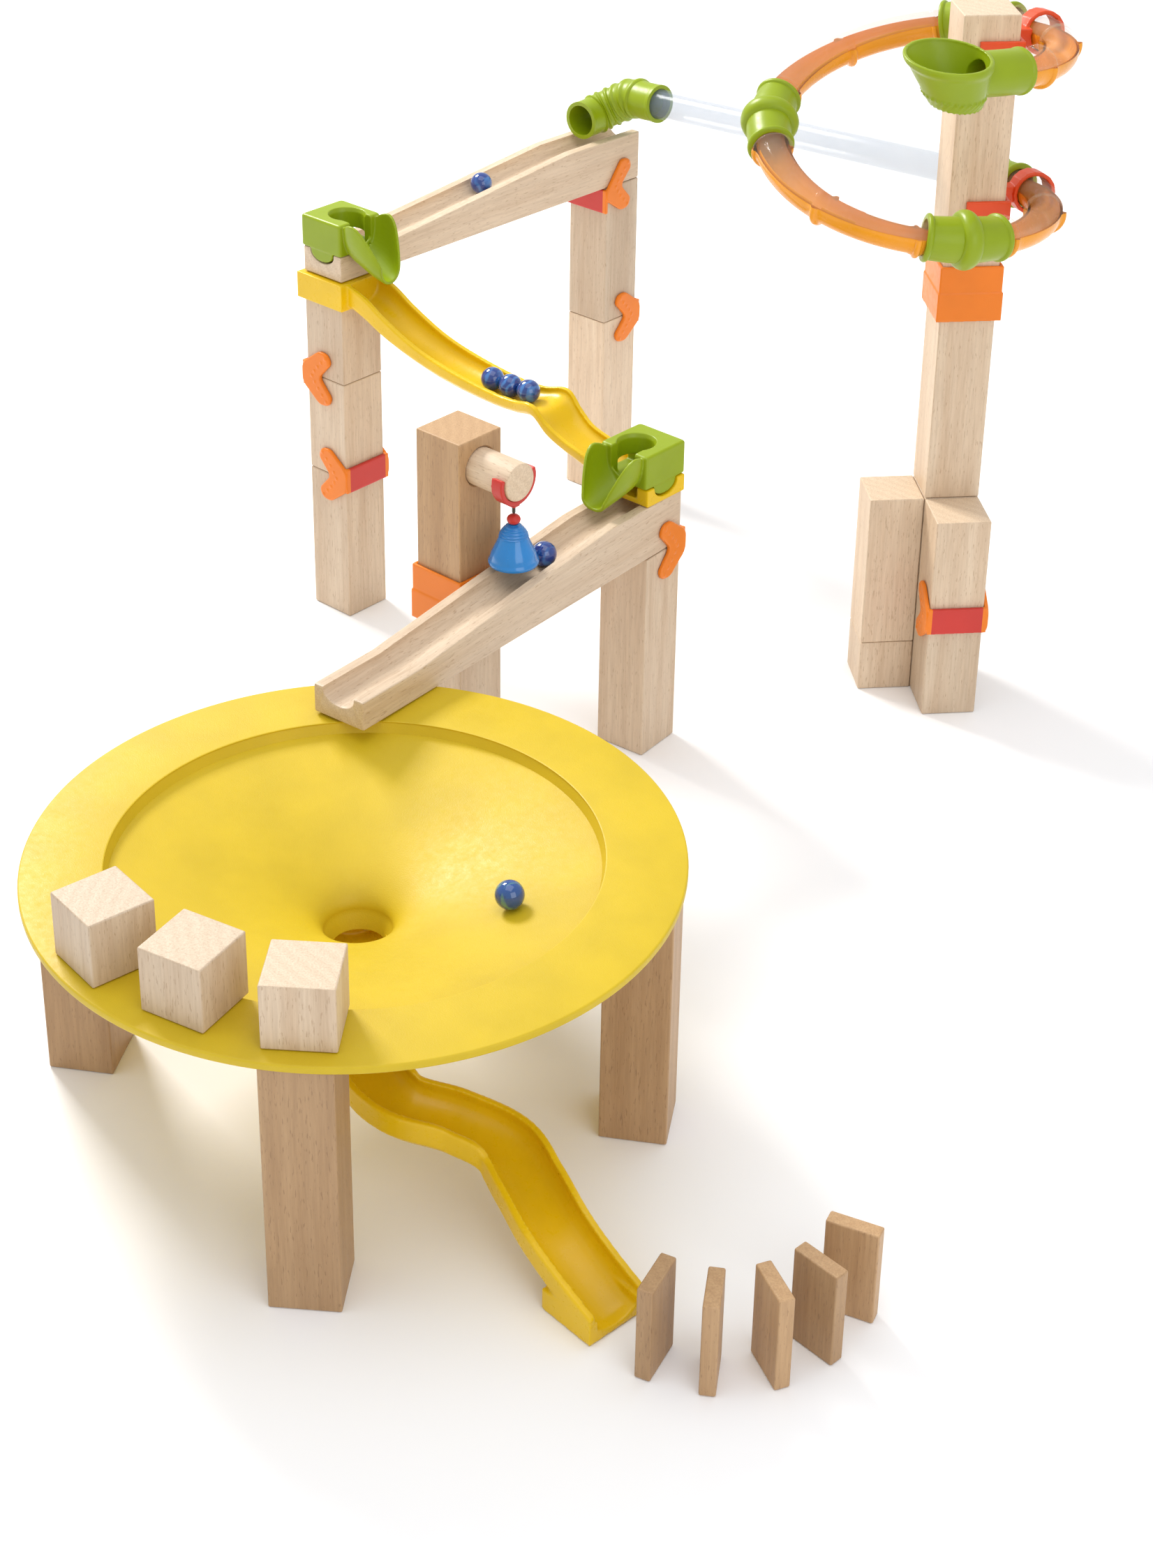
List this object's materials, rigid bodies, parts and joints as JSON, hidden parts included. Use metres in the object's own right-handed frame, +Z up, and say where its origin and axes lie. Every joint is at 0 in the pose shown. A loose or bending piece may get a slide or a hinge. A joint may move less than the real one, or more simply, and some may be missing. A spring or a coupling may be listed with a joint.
{
  "type": "marble run",
  "caption": "Wooden block marble run with spiral tube, grooved ramps, yellow slides, bell, funnel dish, dominoes and loose marbles.",
  "frame": {"origin": "middle of the footprint, on the floor the towers stand on", "axes": "+Z up; +Y runs from the dish to the tube tower, the longest way; +X runs from the ramp tower to the dominoes"},
  "size_m": [0.8022, 0.9204, 0.527],
  "materials": {
    "beech": "sanded, pale, fine straight grain",
    "yellow_plastic": "satin moulded",
    "green_plastic": "soft satin",
    "orange_plastic": "satin moulded",
    "red_plastic": "satin moulded",
    "tube_clip_plastic": "satin moulded",
    "clear_tube": "clear upper half, orange lower half",
    "blue_bell": "gloss enamel",
    "black_wire": "dark wire",
    "marble_glass": "polished blue glass"
  },
  "bodies": {
    "track": {"tower_a_lower": "beech", "tower_a_upper": "beech", "tower_b_lower": "beech", "tower_b_upper": "beech", "tower_c_block": "beech", "bell_tower_lower": "beech", "bell_tower_collar": "orange_plastic", "bell_tower_upper": "beech", "bell_dowel": "beech", "bell_hanger": "red_plastic", "column_lower": "beech", "column_collar": "orange_plastic", "column_top": "beech", "buttress_left": "beech", "buttress_front": "beech", "ramp_upper": "beech", "ramp_lower": "beech", "slide_upper": "yellow_plastic", "slide_lower": "yellow_plastic", "corner_cup_upper": "green_plastic", "corner_cup_lower": "green_plastic", "tube_elbow": "green_plastic", "funnel_cup": "green_plastic", "tube_coupler_1": "green_plastic", "tube_coupler_2": "green_plastic", "tube_coupler_3": "green_plastic", "tube_coupler_4": "green_plastic", "curve_tube_1": "clear_tube", "curve_tube_2": "clear_tube", "curve_tube_3": "clear_tube", "curve_tube_4": "clear_tube", "straight_tube": "clear_tube", "tube_clip_upper": "tube_clip_plastic", "tube_clip_lower": "tube_clip_plastic", "clip_tower_a_upper": "orange_plastic", "clip_tower_a_lower": "orange_plastic", "clip_tower_b_ramp": "orange_plastic", "clip_tower_b_lower": "orange_plastic", "clip_tower_c_ramp": "orange_plastic", "clip_buttress_front": "orange_plastic", "dish": "yellow_plastic", "dish_leg_1": "beech", "dish_leg_2": "beech", "dish_leg_3": "beech", "dish_leg_4": "beech"},
    "ramp_marble": {"marble_ramp": "marble_glass"},
    "bell_marble": {"marble_bell": "marble_glass"},
    "dip_marble_1": {"marble_dip_1": "marble_glass"},
    "dip_marble_2": {"marble_dip_2": "marble_glass"},
    "dip_marble_3": {"marble_dip_3": "marble_glass"},
    "dish_marble": {"marble_dish": "marble_glass"},
    "bell": {"bell": "blue_bell"},
    "domino_1": {"domino_1": "beech"},
    "domino_2": {"domino_2": "beech"},
    "domino_3": {"domino_3": "beech"},
    "domino_4": {"domino_4": "beech"},
    "domino_5": {"domino_5": "beech"},
    "rim_cube_1": {"rim_cube_1": "beech"},
    "rim_cube_2": {"rim_cube_2": "beech"},
    "rim_cube_3": {"rim_cube_3": "beech"}
  },
  "joints": [
    {"name": "ramp_marble_roll", "type": "slide", "parent": "track", "child": "ramp_marble", "axis": [0, 0.996, 0.0891], "range_m": [-0.112, 0.078]},
    {"name": "bell_marble_roll", "type": "slide", "parent": "track", "child": "bell_marble", "axis": [-0.0869, 0.9931, 0.0792], "range_m": [0, 0.034]},
    {"name": "dip_marble_1_roll", "type": "slide", "parent": "track", "child": "dip_marble_1", "axis": [-0.9994, 0, 0.036], "range_m": [0, 0.02]},
    {"name": "dip_marble_2_roll", "type": "slide", "parent": "track", "child": "dip_marble_2", "axis": [-0.9999, 0, 0.01], "range_m": [0, 0.02]},
    {"name": "dip_marble_3_roll", "type": "slide", "parent": "track", "child": "dip_marble_3", "axis": [-0.9987, 0, -0.0519], "range_m": [0, 0.02]},
    {"name": "dish_marble_orbit", "type": "hinge", "parent": "track", "child": "dish_marble", "pos_m": [0.05894, -0.27115, 0.1563], "axis": [0, 0, 1], "continuous": true},
    {"name": "bell_swing", "type": "hinge", "parent": "track", "child": "bell", "pos_m": [-0.07006, -0.00215, 0.237], "axis": [-1, 0, 0], "range_deg": [-4, 32]},
    {"name": "domino_1_fall", "type": "hinge", "parent": "track", "child": "domino_1", "pos_m": [0.33398, -0.32095, 0], "axis": [-0.2672, 0.9636, 0], "range_deg": [0, 16.25]},
    {"name": "domino_2_fall", "type": "hinge", "parent": "track", "child": "domino_2", "pos_m": [0.36141, -0.30769, 0], "axis": [-0.5461, 0.8377, 0], "range_deg": [0, 16.25]},
    {"name": "domino_3_fall", "type": "hinge", "parent": "track", "child": "domino_3", "pos_m": [0.3799, -0.28155, 0], "axis": [-0.8894, 0.4571, 0], "range_deg": [0, 14.25]},
    {"name": "domino_4_fall", "type": "hinge", "parent": "track", "child": "domino_4", "pos_m": [0.38611, -0.25287, 0], "axis": [-0.9966, 0.0819, 0], "range_deg": [0, 18.5]},
    {"name": "domino_5_fall", "type": "hinge", "parent": "track", "child": "domino_5", "pos_m": [0.38162, -0.21985, 0], "axis": [-0.9563, -0.2924, 0], "range_deg": [0, 89.5]},
    {"name": "rim_cube_1_lift", "type": "slide", "parent": "track", "child": "rim_cube_1", "axis": [0, 0, 1], "range_m": [0, 0.05]},
    {"name": "rim_cube_2_lift", "type": "slide", "parent": "track", "child": "rim_cube_2", "axis": [0, 0, 1], "range_m": [0, 0.05]},
    {"name": "rim_cube_3_lift", "type": "slide", "parent": "track", "child": "rim_cube_3", "axis": [0, 0, 1], "range_m": [0, 0.05]}
  ],
  "couplings": [
    {"joint": "dip_marble_2_roll", "follows": "dip_marble_1_roll", "ratio": 1},
    {"joint": "dip_marble_3_roll", "follows": "dip_marble_1_roll", "ratio": 1}
  ]
}
